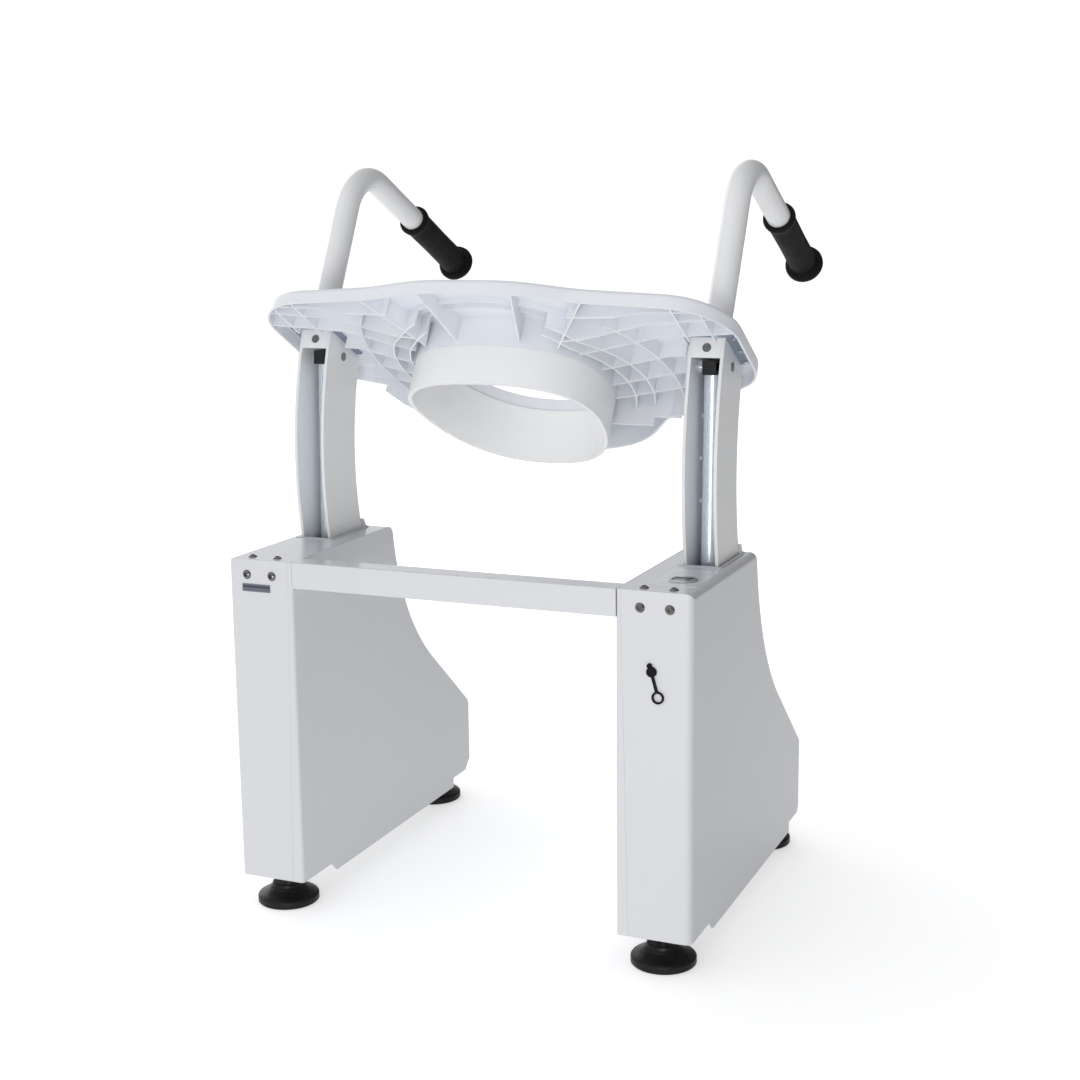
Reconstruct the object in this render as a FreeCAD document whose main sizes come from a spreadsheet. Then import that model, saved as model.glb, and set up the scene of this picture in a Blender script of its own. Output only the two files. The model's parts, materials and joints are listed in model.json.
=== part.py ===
import FreeCAD, Part
import math
import os

import Sketcher

# Powered toilet lift: two floor-standing housings joined by a crossbar, curved columns that
# run up out of them, and a seat with a splash collar and two grab handles on the columns.
# Millimetres. +X is the user's left, the user faces -Y, +Z is up. The origin is on the
# floor, in the middle of the object's outline. The pose modelled is the raised one.
# "Depth" is the distance forward from the housings' rear faces, so Y = rear_y - depth.

SIZES = {
    # overall layout
    "rear_y": 309.57,
    "gap_width": 430.0,
    "housing_width": 93.0,
    "housing_top": 465.0,
    "housing_base": 42.5,
    "skirt_base": 29.5,
    "nose_depth": 500.0,
    "skin": 2.0,
    # concave front of a housing: an arc that runs into a straight slope
    "front_arc_radius": 322.0,
    "front_arc_depth": 589.0,
    "front_arc_height": 497.0,
    "front_slope": 40.0,
    # lift: the columns are rings about one axis ahead of the housings
    "lift_axis_depth": 643.5,
    "lift_axis_height": 568.0,
    "lift_travel": 30.0,
    "column_inner": 246.5,
    "column_width": 44.0,
    "column_rear_radius": 501.0,
    "column_front_radius": 417.5,
    "column_wall": 4.0,
    "column_foot_angle": 24.0,
    # seat, in its own tilted frame: x across, s forward, up the normal
    "seat_depth": 85.0,
    "seat_height": 775.0,
    "seat_tilt": 30.0,
    "seat_thickness": 20.0,
    "deck_wall": 3.0,
    "bowl_centre": 183.0,
    "bowl_half_width": 123.5,
    "bowl_half_length": 130.0,
    "bowl_squareness": 2.48,
    "bowl_egg": 0.17,
    "boss_depth": 22.0,
    "collar_depth": 73.0,
    "rib_thickness": 2.4,
    # handles, in the seat's frame
    "handle_x": 273.0,
    "tube_radius": 16.0,
    "tube_wall": 2.0,
    "bend_radius": 70.0,
    "grip_radius": 19.5,
    "grip_length": 163.0,
    # actuators
    "pin_radius": 5.0,
    "pin_ring_radius": 460.8,
    "pin_angle": 17.0,
    "rod_radius": 10.5,
    "rod_length": 330.0,
    "rod_end_width": 16.0,
    "jacket_radius": 15.0,
    "running_gap": 0.08,
    # feet
    "foot_x": 261.5,
    "rear_foot_depth": 38.0,
    "front_foot_depth": 470.0,
    "pad_radius": 40.0,
    "stem_radius": 6.0,
    "base_plate_z": 50.0,
    "base_plate_thickness": 4.0,
    # crossbar and fittings
    "crossbar_height": 33.5,
    "crossbar_depth": 30.0,
    "screw_radius": 3.0,
    "screw_head_radius": 6.0,
    "screw_head_height": 3.2,
    "screw_height": 445.0,
    "screw_inner_x": 244.5,
    "screw_outer_x": 280.5,
    "top_screw_depth": 15.0,
    "port_x": 259.0,
    "port_z": 370.5,
    "port_radius": 3.2,
    "switch_x": 273.0,
    "switch_depth": 68.0,
    "switch_radius": 18.5,
    "switch_barrel": 15.0,
}

doc = FreeCAD.newDocument("toilet_lift")
sheet = doc.addObject("Spreadsheet::Sheet", "Sheet")
for row, (alias, size) in enumerate(SIZES.items(), start=1):
    sheet.set(f"A{row}", alias)
    sheet.set(f"B{row}", str(size))
    sheet.setAlias(f"B{row}", alias)
doc.recompute()

Vector = FreeCAD.Vector
Placement = FreeCAD.Placement
Rotation = FreeCAD.Rotation
X_AXIS, Y_AXIS, Z_AXIS = Vector(1, 0, 0), Vector(0, 1, 0), Vector(0, 0, 1)
MIRROR_PLANE = Vector(0, 0, 0)
SIDES = {"left": 1, "right": -1}
nodes = []


def cell(alias):
    return float(sheet.get(alias))


SKIN = cell("skin")
INNER = cell("gap_width") / 2
OUTER = INNER + cell("housing_width")
TOP = cell("housing_top")
COLUMN_MID = cell("column_inner") + cell("column_width") / 2
COLUMN_OUTER = cell("column_inner") + cell("column_width")
CHANNEL_HALF = cell("column_width") / 2 - cell("column_wall")
AXIS_DEPTH, AXIS_Z = cell("lift_axis_depth"), cell("lift_axis_height")
BASE_TOP = cell("base_plate_z") + cell("base_plate_thickness")


def at(depth, z, x=0.0):
    """A point from its depth forward of the rear faces."""
    return Vector(x, cell("rear_y") - depth, z)


def on_ring(radius, angle, x=0.0):
    """A point at an angle above the lift axis, on the rear side, so a column's own place."""
    turn = math.radians(angle)
    return at(AXIS_DEPTH - radius * math.cos(turn), AXIS_Z + radius * math.sin(turn), x)


# The seat's frame: local X is the row's X, local -Y points to the seat's front.
seat_frame = Placement(
    at(cell("seat_depth"), cell("seat_height")), Rotation(X_AXIS, cell("seat_tilt"))
)


def on_seat(x, s, up):
    """A point in the seat's own frame."""
    return Vector(x, -s, up)


# ---------------------------------------------------------------- helpers


def node(label, obj):
    obj.Label = label
    nodes.append(obj)
    return obj


def feature(label, shape, placement=None):
    """A sub-part whose shape is worked out here from the sheet's sizes."""
    obj = doc.addObject("Part::Feature", label)
    obj.Shape = shape
    if placement is not None:
        obj.Placement = placement
    return node(label, obj)


def both_sides(name, shape, placement=None):
    """The left piece and its mirror image, as two sub-parts."""
    feature(f"left_{name}", shape, placement)
    feature(f"right_{name}", shape.mirror(MIRROR_PLANE, X_AXIS), placement)


def mirrored(label, source):
    """The right-hand copy of a left-hand object of the document."""
    obj = doc.addObject("Part::Mirroring", label)
    obj.Source = source
    obj.Base = MIRROR_PLANE
    obj.Normal = X_AXIS
    return node(label, obj)


def fused(shapes):
    return shapes[0].multiFuse(shapes[1:]).removeSplitter()


def both_halves(shape):
    """The shape together with its mirror image across the middle plane."""
    return [shape, shape.mirror(MIRROR_PLANE, X_AXIS)]


def box(x0, x1, depth0, depth1, z0, z1):
    corner = at(depth1, z0, x0)
    return Part.makeBox(x1 - x0, depth1 - depth0, z1 - z0, corner)


def seat_box(x0, x1, s0, s1, up0, up1):
    return Part.makeBox(x1 - x0, s1 - s0, up1 - up0, on_seat(x0, s1, up0))


def rod(radius, start, end):
    return Part.makeCylinder(radius, (end - start).Length, start, end - start)


def slab(points, direction):
    """A flat polygon pushed along a vector."""
    return Part.Face(Part.makePolygon(points + points[:1])).extrude(direction)


def hexagon(radius, centre, height):
    """A hexagonal prism that stands on its centre point."""
    corners = []
    for i in range(7):
        turn = math.radians(60 * i)
        corners.append(centre + Vector(radius * math.cos(turn), radius * math.sin(turn), 0))
    return Part.Face(Part.makePolygon(corners)).extrude(Z_AXIS * height)


def ring_sector(r0, r1, low, high, x0, x1):
    """A block between two radii and two angles about the lift axis."""
    middle = (low + high) / 2
    edges = [
        Part.Arc(on_ring(r1, low, x0), on_ring(r1, middle, x0), on_ring(r1, high, x0)).toShape(),
        Part.makeLine(on_ring(r1, high, x0), on_ring(r0, high, x0)),
        Part.Arc(on_ring(r0, high, x0), on_ring(r0, middle, x0), on_ring(r0, low, x0)).toShape(),
        Part.makeLine(on_ring(r0, low, x0), on_ring(r1, low, x0)),
    ]
    return Part.Face(Part.Wire(edges)).extrude(X_AXIS * (x1 - x0))


def edges_along_x(shape, depth, z, reach=1.5):
    """Edges parallel to X that pass near a point of the side view."""
    spot = at(depth, z)
    found = []
    for edge in shape.Edges:
        ends = [v.Point for v in edge.Vertexes]
        if len(ends) == 2 and all(math.hypot(p.y - spot.y, p.z - spot.z) < reach for p in ends):
            found.append(edge)
    return found


# ---------------------------------------------------------------- PartDesign helpers


def new_body(label):
    return node(label, doc.addObject("PartDesign::Body", label))


def origin_plane(body, role):
    return next(f for f in body.Origin.OriginFeatures if f.Role == role)


def sketch_on(body, role, offset=None):
    sketch = body.newObject("Sketcher::SketchObject", f"{body.Name}_{role[:2]}_sketch")
    sketch.AttachmentSupport = (origin_plane(body, role), [""])
    sketch.MapMode = "FlatFace"
    if offset:
        sketch.setExpression("AttachmentOffset.Base.z", offset)
    return sketch


def pin_point(sketch, geo, end, across, up):
    """Holds one end of a sketch line at two sheet expressions."""
    for kind, expression in (("DistanceX", across), ("DistanceY", up)):
        index = sketch.addConstraint(Sketcher.Constraint(kind, -1, 1, geo, end, 1.0))
        sketch.setExpression(f"Constraints[{index}]", expression)


def number(expression):
    """The number that a sheet expression has now, worked out in a spare cell."""
    sheet.set("D1", "=" + expression.replace("Sheet.", ""))
    sheet.recompute()
    return float(sheet.get("D1"))


def draw_outline(sketch, corners):
    """A closed outline of straight lines whose corners are sheet expressions."""
    first = sketch.GeometryCount
    values = [tuple(number(e) for e in corner) for corner in corners]
    for a, b in zip(values, values[1:] + values[:1]):
        sketch.addGeometry(Part.LineSegment(Vector(*a, 0), Vector(*b, 0)), False)
    for i, corner in enumerate(corners):
        following = (i + 1) % len(corners)
        sketch.addConstraint(Sketcher.Constraint("Coincident", first + i, 2, first + following, 1))
        pin_point(sketch, first + i, 1, *corner)


def draw_circle(sketch, across, up, radius):
    values = [number(e) for e in (across, up, radius)]
    geo = sketch.addGeometry(
        Part.Circle(Vector(values[0], values[1], 0), Z_AXIS, values[2]), False
    )
    pin_point(sketch, geo, 3, across, up)
    index = sketch.addConstraint(Sketcher.Constraint("Radius", geo, values[2]))
    sketch.setExpression(f"Constraints[{index}]", radius)


def rectangle(x0, x1, y0, y1):
    return [(x0, y0), (x1, y0), (x1, y1), (x0, y1)]


def pad(body, sketch, length):
    feature_pad = body.newObject("PartDesign::Pad", f"{body.Name}_pad")
    feature_pad.Profile = sketch
    feature_pad.setExpression("Length", length)
    doc.recompute()
    return feature_pad


def pocket(body, sketch, length, backwards=False):
    """A pocket that has to take material away."""
    before = body.Shape.Volume
    cut = body.newObject("PartDesign::Pocket", f"{body.Name}_pocket")
    cut.Profile = sketch
    cut.Reversed = backwards
    cut.setExpression("Length", length)
    doc.recompute()
    assert body.Shape.Volume < before, f"{body.Label}: the pocket cuts nothing"
    return cut


def round_edges(body, edges, radius):
    base = body.Tip
    rounding = body.newObject("PartDesign::Fillet", f"{body.Name}_rounding")
    rounding.Base = (base, edges)
    rounding.Radius = radius
    doc.recompute()


def revolved(label, corners):
    """A turned piece: half its section, as radius and height, spun about Z."""
    body = new_body(label)
    sketch = sketch_on(body, "XZ_Plane")
    draw_outline(sketch, corners)
    spin = body.newObject("PartDesign::Revolution", f"{label}_turned")
    spin.Profile = sketch
    spin.ReferenceAxis = (sketch, ["V_Axis"])
    spin.Angle = 360
    doc.recompute()
    return body


# ---------------------------------------------------------------- housings


def side_profile(inset, floor_open):
    """The housing's side view as a face on the plane X = 0, drawn in by inset."""
    radius = cell("front_arc_radius") + inset
    centre_depth, centre_z = cell("front_arc_depth"), cell("front_arc_height")
    slope = math.radians(cell("front_slope"))
    top, nose, rear = TOP - inset, cell("nose_depth") - inset, inset
    arc_top = centre_depth - math.sqrt(radius**2 - (centre_z - top) ** 2)
    arc_end = (centre_depth - radius * math.sin(slope), centre_z - radius * math.cos(slope))
    start_turn = math.asin((centre_z - top) / radius)
    mid_turn = (start_turn + math.pi / 2 - slope) / 2
    arc_mid = (
        centre_depth - radius * math.cos(mid_turn),
        centre_z - radius * math.sin(mid_turn),
    )
    nose_top = arc_end[1] - (nose - arc_end[0]) * math.tan(slope)
    if floor_open:
        below = cell("skirt_base") - 10
        lower = [(nose, below), (rear, below)]
    else:
        base, skirt = cell("housing_base"), cell("skirt_base")
        lower = [(nose, 60), (486, 44), (443, 44), (443, skirt), (87, skirt), (74, base), (rear, base)]
    corners = [(arc_end[0], arc_end[1]), (nose, nose_top)] + lower + [(rear, top), (arc_top, top)]
    lines = [Part.makeLine(at(*a), at(*b)) for a, b in zip(corners, corners[1:])]
    arc = Part.Arc(at(arc_top, top), at(*arc_mid), at(*arc_end)).toShape()
    return Part.Face(Part.Wire(lines + [arc])), (arc_top, top), (nose, nose_top)


def housing_solid(x0, x1, inset, floor_open=False, rounding=0.0):
    """The housing's side view pushed across, with its outer and top front edges rounded."""
    face, arc_top, nose_top = side_profile(inset, floor_open)
    face.translate(X_AXIS * x0)
    solid = face.extrude(X_AXIS * (x1 - x0))
    corner_radius = 14 - inset
    solid = solid.makeFillet(corner_radius, edges_along_x(solid, *arc_top))
    solid = solid.makeFillet(corner_radius, edges_along_x(solid, *nose_top))
    if rounding:
        outer = [e for e in solid.Edges if all(abs(v.Point.x - x1) < 0.01 for v in e.Vertexes)]
        kept = [e for e in outer if e.BoundBox.ZMax > cell("housing_base") + 60]
        solid = solid.makeFillet(rounding, kept)
    return solid


ROUNDING = 9.0
shell = housing_solid(INNER, OUTER, 0, rounding=ROUNDING)
cavity = housing_solid(INNER - 1, OUTER - SKIN, SKIN, floor_open=True, rounding=ROUNDING - SKIN)
skin_solid = shell.cut(cavity)

# Slot in the top that the column runs through; a ring keeps the same section at this height.
slot_gap = 3.0
slot_drop = AXIS_Z - TOP
slot_rear = AXIS_DEPTH - math.sqrt(cell("column_rear_radius") ** 2 - slot_drop**2) - slot_gap
slot_front = AXIS_DEPTH - math.sqrt(cell("column_front_radius") ** 2 - slot_drop**2) + slot_gap
column_slot = box(
    cell("column_inner") - slot_gap, COLUMN_OUTER + slot_gap,
    slot_rear, slot_front, TOP - 20, TOP + 5,
)

SCREW_XS = [cell("screw_inner_x"), cell("screw_outer_x")]
screw_hole_radius = cell("screw_radius") + 0.1
screw_reach = 9.0
screw_holes = []
for x in SCREW_XS:
    height, depth = cell("screw_height"), cell("top_screw_depth")
    screw_holes.append(rod(screw_hole_radius, at(-1, height, x), at(12, height, x)))
    screw_holes.append(rod(screw_hole_radius, at(depth, TOP + 1, x), at(depth, TOP - 12, x)))

# The inner cover wraps round the rear corner; its seam leans, wider at the bottom.
seam_low, seam_high = 15.0, 5.5
wrap = slab(
    [
        at(0, cell("housing_base"), INNER),
        at(0, cell("housing_base"), INNER + seam_low),
        at(0, TOP, INNER + seam_high),
        at(0, TOP, INNER),
    ],
    at(SKIN, 0) - at(0, 0),
)
side_face, _, _ = side_profile(0, False)
side_face.translate(X_AXIS * INNER)
inner_zone = fused([side_face.extrude(X_AXIS * SKIN), wrap])
inner_cover = housing_solid(INNER, OUTER, 0).common(inner_zone).removeSplitter()


def on_rear_corner(edge):
    """Whether an edge runs up the corner between the rear face and the inner side."""
    return all(
        abs(v.Point.x - INNER) < 0.01 and abs(v.Point.y - cell("rear_y")) < 0.01 for v in edge.Vertexes
    )


corner_edges = [e for e in inner_cover.Edges if e.Length > 300 and on_rear_corner(e)]
inner_cover = inner_cover.makeFillet(4.0, corner_edges)
crossbar_window = box(
    INNER - 1, INNER + SKIN + 1, 6, cell("crossbar_depth") - 6,
    TOP - cell("crossbar_height") + 6, TOP - 6,
)
both_sides("inner_cover", inner_cover.cut(crossbar_window))

outer_cover = skin_solid.cut(inner_zone).cut(column_slot)
for hole in screw_holes:
    outer_cover = outer_cover.cut(hole)
port = cell("port_x")
port_hole = rod(6.1, at(-1, cell("port_z"), port), at(12, cell("port_z"), port))
switch_hole = rod(
    cell("switch_barrel") + 0.1,
    at(cell("switch_depth"), TOP + 2, cell("switch_x")),
    at(cell("switch_depth"), TOP - 25, cell("switch_x")),
)
feature("left_outer_cover", outer_cover)
fitted_cover = outer_cover.cut(port_hole).cut(switch_hole)
feature("right_outer_cover", fitted_cover.mirror(MIRROR_PLANE, X_AXIS))

# ---------------------------------------------------------------- chassis inside each housing

PLATE_INNER, PLATE_OUTER, PLATE = 232.0, 298.0, 3.0
PLATE_INSET = 9.0


def side_plate(x0):
    solid = housing_solid(x0, x0 + PLATE, PLATE_INSET, floor_open=True)
    keep = box(x0 - 1, x0 + PLATE + 1, 3, 492, BASE_TOP, TOP - 7)
    window = box(x0 - 1, x0 + PLATE + 1, 40, 130, 110, 400)
    return solid.common(keep).cut(window)


FOOT_DEPTHS = {"rear": cell("rear_foot_depth"), "front": cell("front_foot_depth")}
base_plate = box(PLATE_INNER - 8, PLATE_OUTER + PLATE, 6, 490, cell("base_plate_z"), BASE_TOP)
back_plate = box(PLATE_INNER, PLATE_OUTER + PLATE, 3, 6, BASE_TOP, TOP - 5)
top_tab = box(PLATE_INNER, PLATE_OUTER + PLATE, 3, 36, TOP - 8, TOP - 5)
bushes = [
    rod(12, at(d, BASE_TOP, cell("foot_x")), at(d, BASE_TOP + 12, cell("foot_x")))
    for d in FOOT_DEPTHS.values()
]
side_plates = [side_plate(PLATE_INNER), side_plate(PLATE_OUTER)]
chassis = fused(side_plates + [base_plate, back_plate, top_tab] + bushes)
for depth in FOOT_DEPTHS.values():
    stem_hole = rod(
        cell("stem_radius") + cell("running_gap"),
        at(depth, 30, cell("foot_x")),
        at(depth, BASE_TOP + 20, cell("foot_x")),
    )
    chassis = chassis.cut(stem_hole)
for hole in screw_holes:
    chassis = chassis.cut(hole)
feature("left_chassis", chassis)
port_room = rod(9.0, at(2, cell("port_z"), port), at(12, cell("port_z"), port))
feature("right_chassis", chassis.cut(port_room).mirror(MIRROR_PLANE, X_AXIS))

# Plastic glides that the column runs between.
guide_gap = 0.4
rear_r, front_r = cell("column_rear_radius"), cell("column_front_radius")
glide_low, glide_high, glide_grip = -23.5, -14.5, 2.8
rear_glides = [
    (PLATE_INNER + PLATE, cell("column_inner") + glide_grip),
    (COLUMN_OUTER - glide_grip, PLATE_OUTER),
]
glides = [ring_sector(rear_r + guide_gap, rear_r + 11, glide_low, glide_high, *xs) for xs in rear_glides]
glides.append(ring_sector(
    front_r - 10, front_r - guide_gap, glide_low, glide_high - 1.5, PLATE_INNER + PLATE, PLATE_OUTER
))
feature("column_glides", Part.Compound([one for glide in glides for one in both_halves(glide)]))

# Trim that closes the slot round the column, with a swept-up lip at the front.
trim_gap = 1.6
opening = box(
    cell("column_inner") - trim_gap, COLUMN_OUTER + trim_gap,
    slot_rear + slot_gap - trim_gap, slot_front - slot_gap + trim_gap, TOP - 5, TOP + 20,
)
plate = box(
    cell("column_inner") - 6, COLUMN_OUTER + 6, slot_rear - 3, slot_front + 3, TOP, TOP + 1.0
)
lip_depth = slot_front - slot_gap + trim_gap
lip_edge, lip_radius = 0.8, 12.0
lip_x = cell("column_inner") - 3
lip_centre = (lip_depth + lip_edge + lip_radius, TOP + lip_edge + lip_radius)
lip_turn = lip_radius * math.sqrt(0.5)
lip_start = at(lip_depth + lip_edge, lip_centre[1], lip_x)
lip_end = at(lip_centre[0], TOP + lip_edge, lip_x)
lip_line = Part.makePolygon([
    lip_end,
    at(lip_centre[0], TOP, lip_x),
    at(lip_depth, TOP, lip_x),
    at(lip_depth, lip_centre[1], lip_x),
    lip_start,
])
lip_middle = at(lip_centre[0] - lip_turn, lip_centre[1] - lip_turn, lip_x)
lip_arc = Part.Arc(lip_start, lip_middle, lip_end).toShape()
lip = Part.Face(Part.Wire(lip_line.Edges + [lip_arc])).extrude(X_AXIS * (cell("column_width") + 6))
both_sides("column_trim", fused([plate.cut(opening), lip]))

# ---------------------------------------------------------------- crossbar and small fittings

bar = new_body("crossbar")
bar_sketch = sketch_on(bar, "YZ_Plane", "-Sheet.gap_width / 2")
draw_outline(
    bar_sketch,
    rectangle("Sheet.rear_y - Sheet.crossbar_depth", "Sheet.rear_y",
              "Sheet.housing_top - Sheet.crossbar_height", "Sheet.housing_top"),
)
pad(bar, bar_sketch, "Sheet.gap_width")
hollow_sketch = sketch_on(bar, "YZ_Plane", "-Sheet.gap_width / 2")
draw_outline(
    hollow_sketch,
    rectangle("Sheet.rear_y - Sheet.crossbar_depth + Sheet.skin", "Sheet.rear_y - Sheet.skin",
              "Sheet.housing_top - Sheet.crossbar_height + Sheet.skin", "Sheet.housing_top - Sheet.skin"),
)
pocket(bar, hollow_sketch, "Sheet.gap_width", backwards=True)
bar_faces = (cell("rear_y"), cell("rear_y") - cell("crossbar_depth"))
long_edges = [
    f"Edge{i + 1}"
    for i, e in enumerate(bar.Shape.Edges)
    if e.Length > 400 and min(abs(e.BoundBox.YMin - y) for y in bar_faces) < 0.1
]
round_edges(bar, long_edges, 1.5)


def button_screw(seat_point, outward):
    """A button-head screw with a hexagon socket, its head standing on seat_point."""
    head_radius, head_height = cell("screw_head_radius"), cell("screw_head_height")
    dome_radius = (head_radius**2 + head_height**2) / (2 * head_height)
    ball = Part.makeSphere(dome_radius, Vector(0, 0, head_height - dome_radius))
    head = Part.makeCylinder(head_radius, head_height).common(ball)
    shank = Part.makeCylinder(cell("screw_radius"), screw_reach, Vector(0, 0, -screw_reach))
    socket = hexagon(2.9, Vector(0, 0, head_height - 2.2), 5)
    screw = head.fuse(shank).removeSplitter().cut(socket)
    screw.Placement = Placement(seat_point, Rotation(Z_AXIS, outward))
    return screw


cover_screws = []
for x in SCREW_XS:
    cover_screws.append(button_screw(at(0, cell("screw_height"), x), Y_AXIS))
    cover_screws.append(button_screw(at(cell("top_screw_depth"), TOP, x), Z_AXIS))
all_cover_screws = [one for screw in cover_screws for one in both_halves(screw)]
feature("cover_screws", Part.Compound(all_cover_screws))

plate_body = new_body("rating_plate")
plate_sketch = sketch_on(plate_body, "XZ_Plane", "-Sheet.rear_y - 0.6")
draw_outline(
    plate_sketch,
    rectangle("247", "287.5", "Sheet.screw_height - 21.5", "Sheet.screw_height - 11.5"),
)
pad(plate_body, plate_sketch, "0.6")

switch_plate = new_body("switch_plate")
switch_plate_sketch = sketch_on(switch_plate, "XY_Plane", "Sheet.housing_top")
draw_outline(
    switch_plate_sketch,
    rectangle("-Sheet.switch_x - 27", "-Sheet.switch_x + 27", "Sheet.rear_y - 126", "Sheet.rear_y - 34"),
)
pad(switch_plate, switch_plate_sketch, "0.5")
switch_plate_hole = sketch_on(switch_plate, "XY_Plane", "Sheet.housing_top")
draw_circle(
    switch_plate_hole,
    "-Sheet.switch_x", "Sheet.rear_y - Sheet.switch_depth", "Sheet.switch_barrel + 0.1",
)
pocket(switch_plate, switch_plate_hole, "0.5", backwards=True)

ROCKER_X, ROCKER_Y = 24.0, 17.0
bezel = revolved(
    "switch_bezel",
    [("0", "-22"), ("Sheet.switch_barrel", "-22"), ("Sheet.switch_barrel", "0"),
     ("Sheet.switch_radius", "0"), ("Sheet.switch_radius", "0.8"),
     ("Sheet.switch_radius - 1", "1.5"), ("0", "1.5")],
)
rocker_well = sketch_on(bezel, "XY_Plane")
rocker_well.AttachmentOffset = Placement(Vector(0, 0, 2), Rotation())
well_x, well_y = ROCKER_X / 2 + 0.3, ROCKER_Y / 2 + 0.6
draw_outline(rocker_well, rectangle(str(-well_x), str(well_x), str(-well_y), str(well_y)))
pocket(bezel, rocker_well, "18")
switch_spot = at(cell("switch_depth"), TOP + 0.5, -cell("switch_x"))
bezel.Placement = Placement(switch_spot, Rotation())

# The rocker turns about X, on a line 5 mm below the bezel's face.
rocker_radius, rocker_drop = 8.5, 5.0
rocker_top, rocker_base = 6.6, -5.0
drum = Part.makeCylinder(rocker_radius, ROCKER_X, Vector(-ROCKER_X / 2, 0, 0), X_AXIS)
rocker_block = Part.makeBox(
    ROCKER_X, 2 * rocker_radius, rocker_top - rocker_base,
    Vector(-ROCKER_X / 2, -rocker_radius, rocker_base),
)
dish_radius, dish_depth = 40.0, 0.9
dish = Part.makeCylinder(
    dish_radius, ROCKER_X + 2,
    Vector(-ROCKER_X / 2 - 1, 0, rocker_top + dish_radius - dish_depth), X_AXIS,
)
rocker = drum.common(rocker_block).cut(dish)
feature("power_rocker", rocker, Placement(switch_spot - Z_AXIS * rocker_drop, Rotation()))

socket_body = rod(6.0, at(0.2, cell("port_z"), -port), at(18, cell("port_z"), -port))
socket_flange = rod(8.5, at(SKIN, cell("port_z"), -port), at(SKIN + 2, cell("port_z"), -port))
socket_bore = rod(cell("port_radius"), at(-1, cell("port_z"), -port), at(12, cell("port_z"), -port))
feature("charge_socket", fused([socket_body, socket_flange]).cut(socket_bore))


def flat_disc(radius, x, z, depth0, depth1):
    return rod(radius, at(depth0, z, x), at(depth1, z, x))


cap_z = cell("port_z")
ring_x, ring_z = -266.8, 340.5
strap_gap = -0.2
strap_top, strap_foot = cap_z - 4, ring_z + 5.6
strap = slab(
    [at(strap_gap, strap_top, -port - 2.6), at(strap_gap, strap_top, -port + 1.0),
     at(strap_gap, strap_foot, ring_x + 3.0), at(strap_gap, strap_foot, ring_x - 0.6)],
    Y_AXIS * 1.8,
)
ring = flat_disc(7.4, ring_x, ring_z, -2.4, strap_gap).cut(flat_disc(5.2, ring_x, ring_z, -4, 1))
cap_parts = [
    flat_disc(5.8, -port, cap_z, -3.4, strap_gap),
    flat_disc(3.0, -port + 2.3, cap_z + 7.2, -3.0, strap_gap),
    flat_disc(cell("port_radius") - cell("running_gap"), -port, cap_z, strap_gap - 0.1, 8),
    box(-port - 1.0, -port + 3.5, -2.6, strap_gap, cap_z, cap_z + 7.0),
    strap,
    ring,
]
feature("charge_cap", fused(cap_parts))

# ---------------------------------------------------------------- power pack in the right housing


def rounded_case(label, x0, x1, depth0, depth1, z0, z1):
    body = new_body(label)
    sketch = sketch_on(body, "XY_Plane", z0)
    draw_outline(sketch, rectangle(x0, x1, f"Sheet.rear_y - {depth1}", f"Sheet.rear_y - {depth0}"))
    pad(body, sketch, f"{z1} - {z0}")
    edges = enumerate(body.Shape.Edges, start=1)
    round_edges(body, [f"Edge{i}" for i, e in edges if e.BoundBox.ZLength > 20], 5)


rounded_case("battery_pack", "-297", "-236", "12", "96", "102", "236")
rounded_case("control_box", "-297", "-236", "24", "96", "250", "350")

# ---------------------------------------------------------------- columns

WALL = cell("column_wall")
arm = ring_sector(
    cell("column_front_radius"), cell("column_rear_radius"),
    -cell("column_foot_angle"), 25, cell("column_inner"), COLUMN_OUTER,
)
channel = ring_sector(
    cell("column_front_radius") + WALL, cell("column_rear_radius") + 5,
    -cell("column_foot_angle") - 2, 26, COLUMN_MID - CHANNEL_HALF, COLUMN_MID + CHANNEL_HALF,
)
BRACKET_TOP = cell("seat_thickness") - cell("deck_wall")
BRACKET_BASE = BRACKET_TOP - 3
above_column = seat_box(200, 340, -200, 400, BRACKET_BASE, 200)
above_column.Placement = seat_frame.multiply(above_column.Placement)
pivot = on_ring(cell("pin_ring_radius"), cell("pin_angle"), COLUMN_MID)


def pivot_rod(radius, x0, x1):
    """A rod along the pivot line at the top of an actuator."""
    return rod(radius, Vector(x0, pivot.y, pivot.z), Vector(x1, pivot.y, pivot.z))


pin_hole = pivot_rod(cell("pin_radius") + 0.1, cell("column_inner") - 2, COLUMN_OUTER + 2)
# rivet heads inside both flanges, in a row along the ring
RIVET_RADIUS, RIVET_RING, RIVET_STEP, LOWEST_RIVET = 3.8, 438.0, 6.9, -11.0
rivets = []
for i in range(4):
    for side in (-1, 1):
        spot = on_ring(RIVET_RING, LOWEST_RIVET + i * RIVET_STEP, COLUMN_MID + side * (CHANNEL_HALF + 1.4))
        rivets.append(Part.makeSphere(RIVET_RADIUS, spot))
within = ring_sector(420, 460, -20, 20, cell("column_inner") + 0.1, COLUMN_OUTER - 0.1)
rivet_heads = Part.Compound(rivets).common(within)
column = arm.cut(channel).fuse(rivet_heads).cut(above_column).cut(pin_hole)

# Solid head in the top of the channel, bored for the handle's post.
POST_LEAN = 3.4
POST_S, POST_UP = 108.5, 80.0
lean = math.radians(POST_LEAN)
post_direction = on_seat(0, -math.sin(lean), math.cos(lean))
post_on_axis = on_seat(cell("handle_x"), POST_S, POST_UP)


def along_post(up):
    """The point of the post's axis at a height above the seat's base plane."""
    return post_on_axis + post_direction * ((up - POST_UP) / math.cos(lean))


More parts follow.
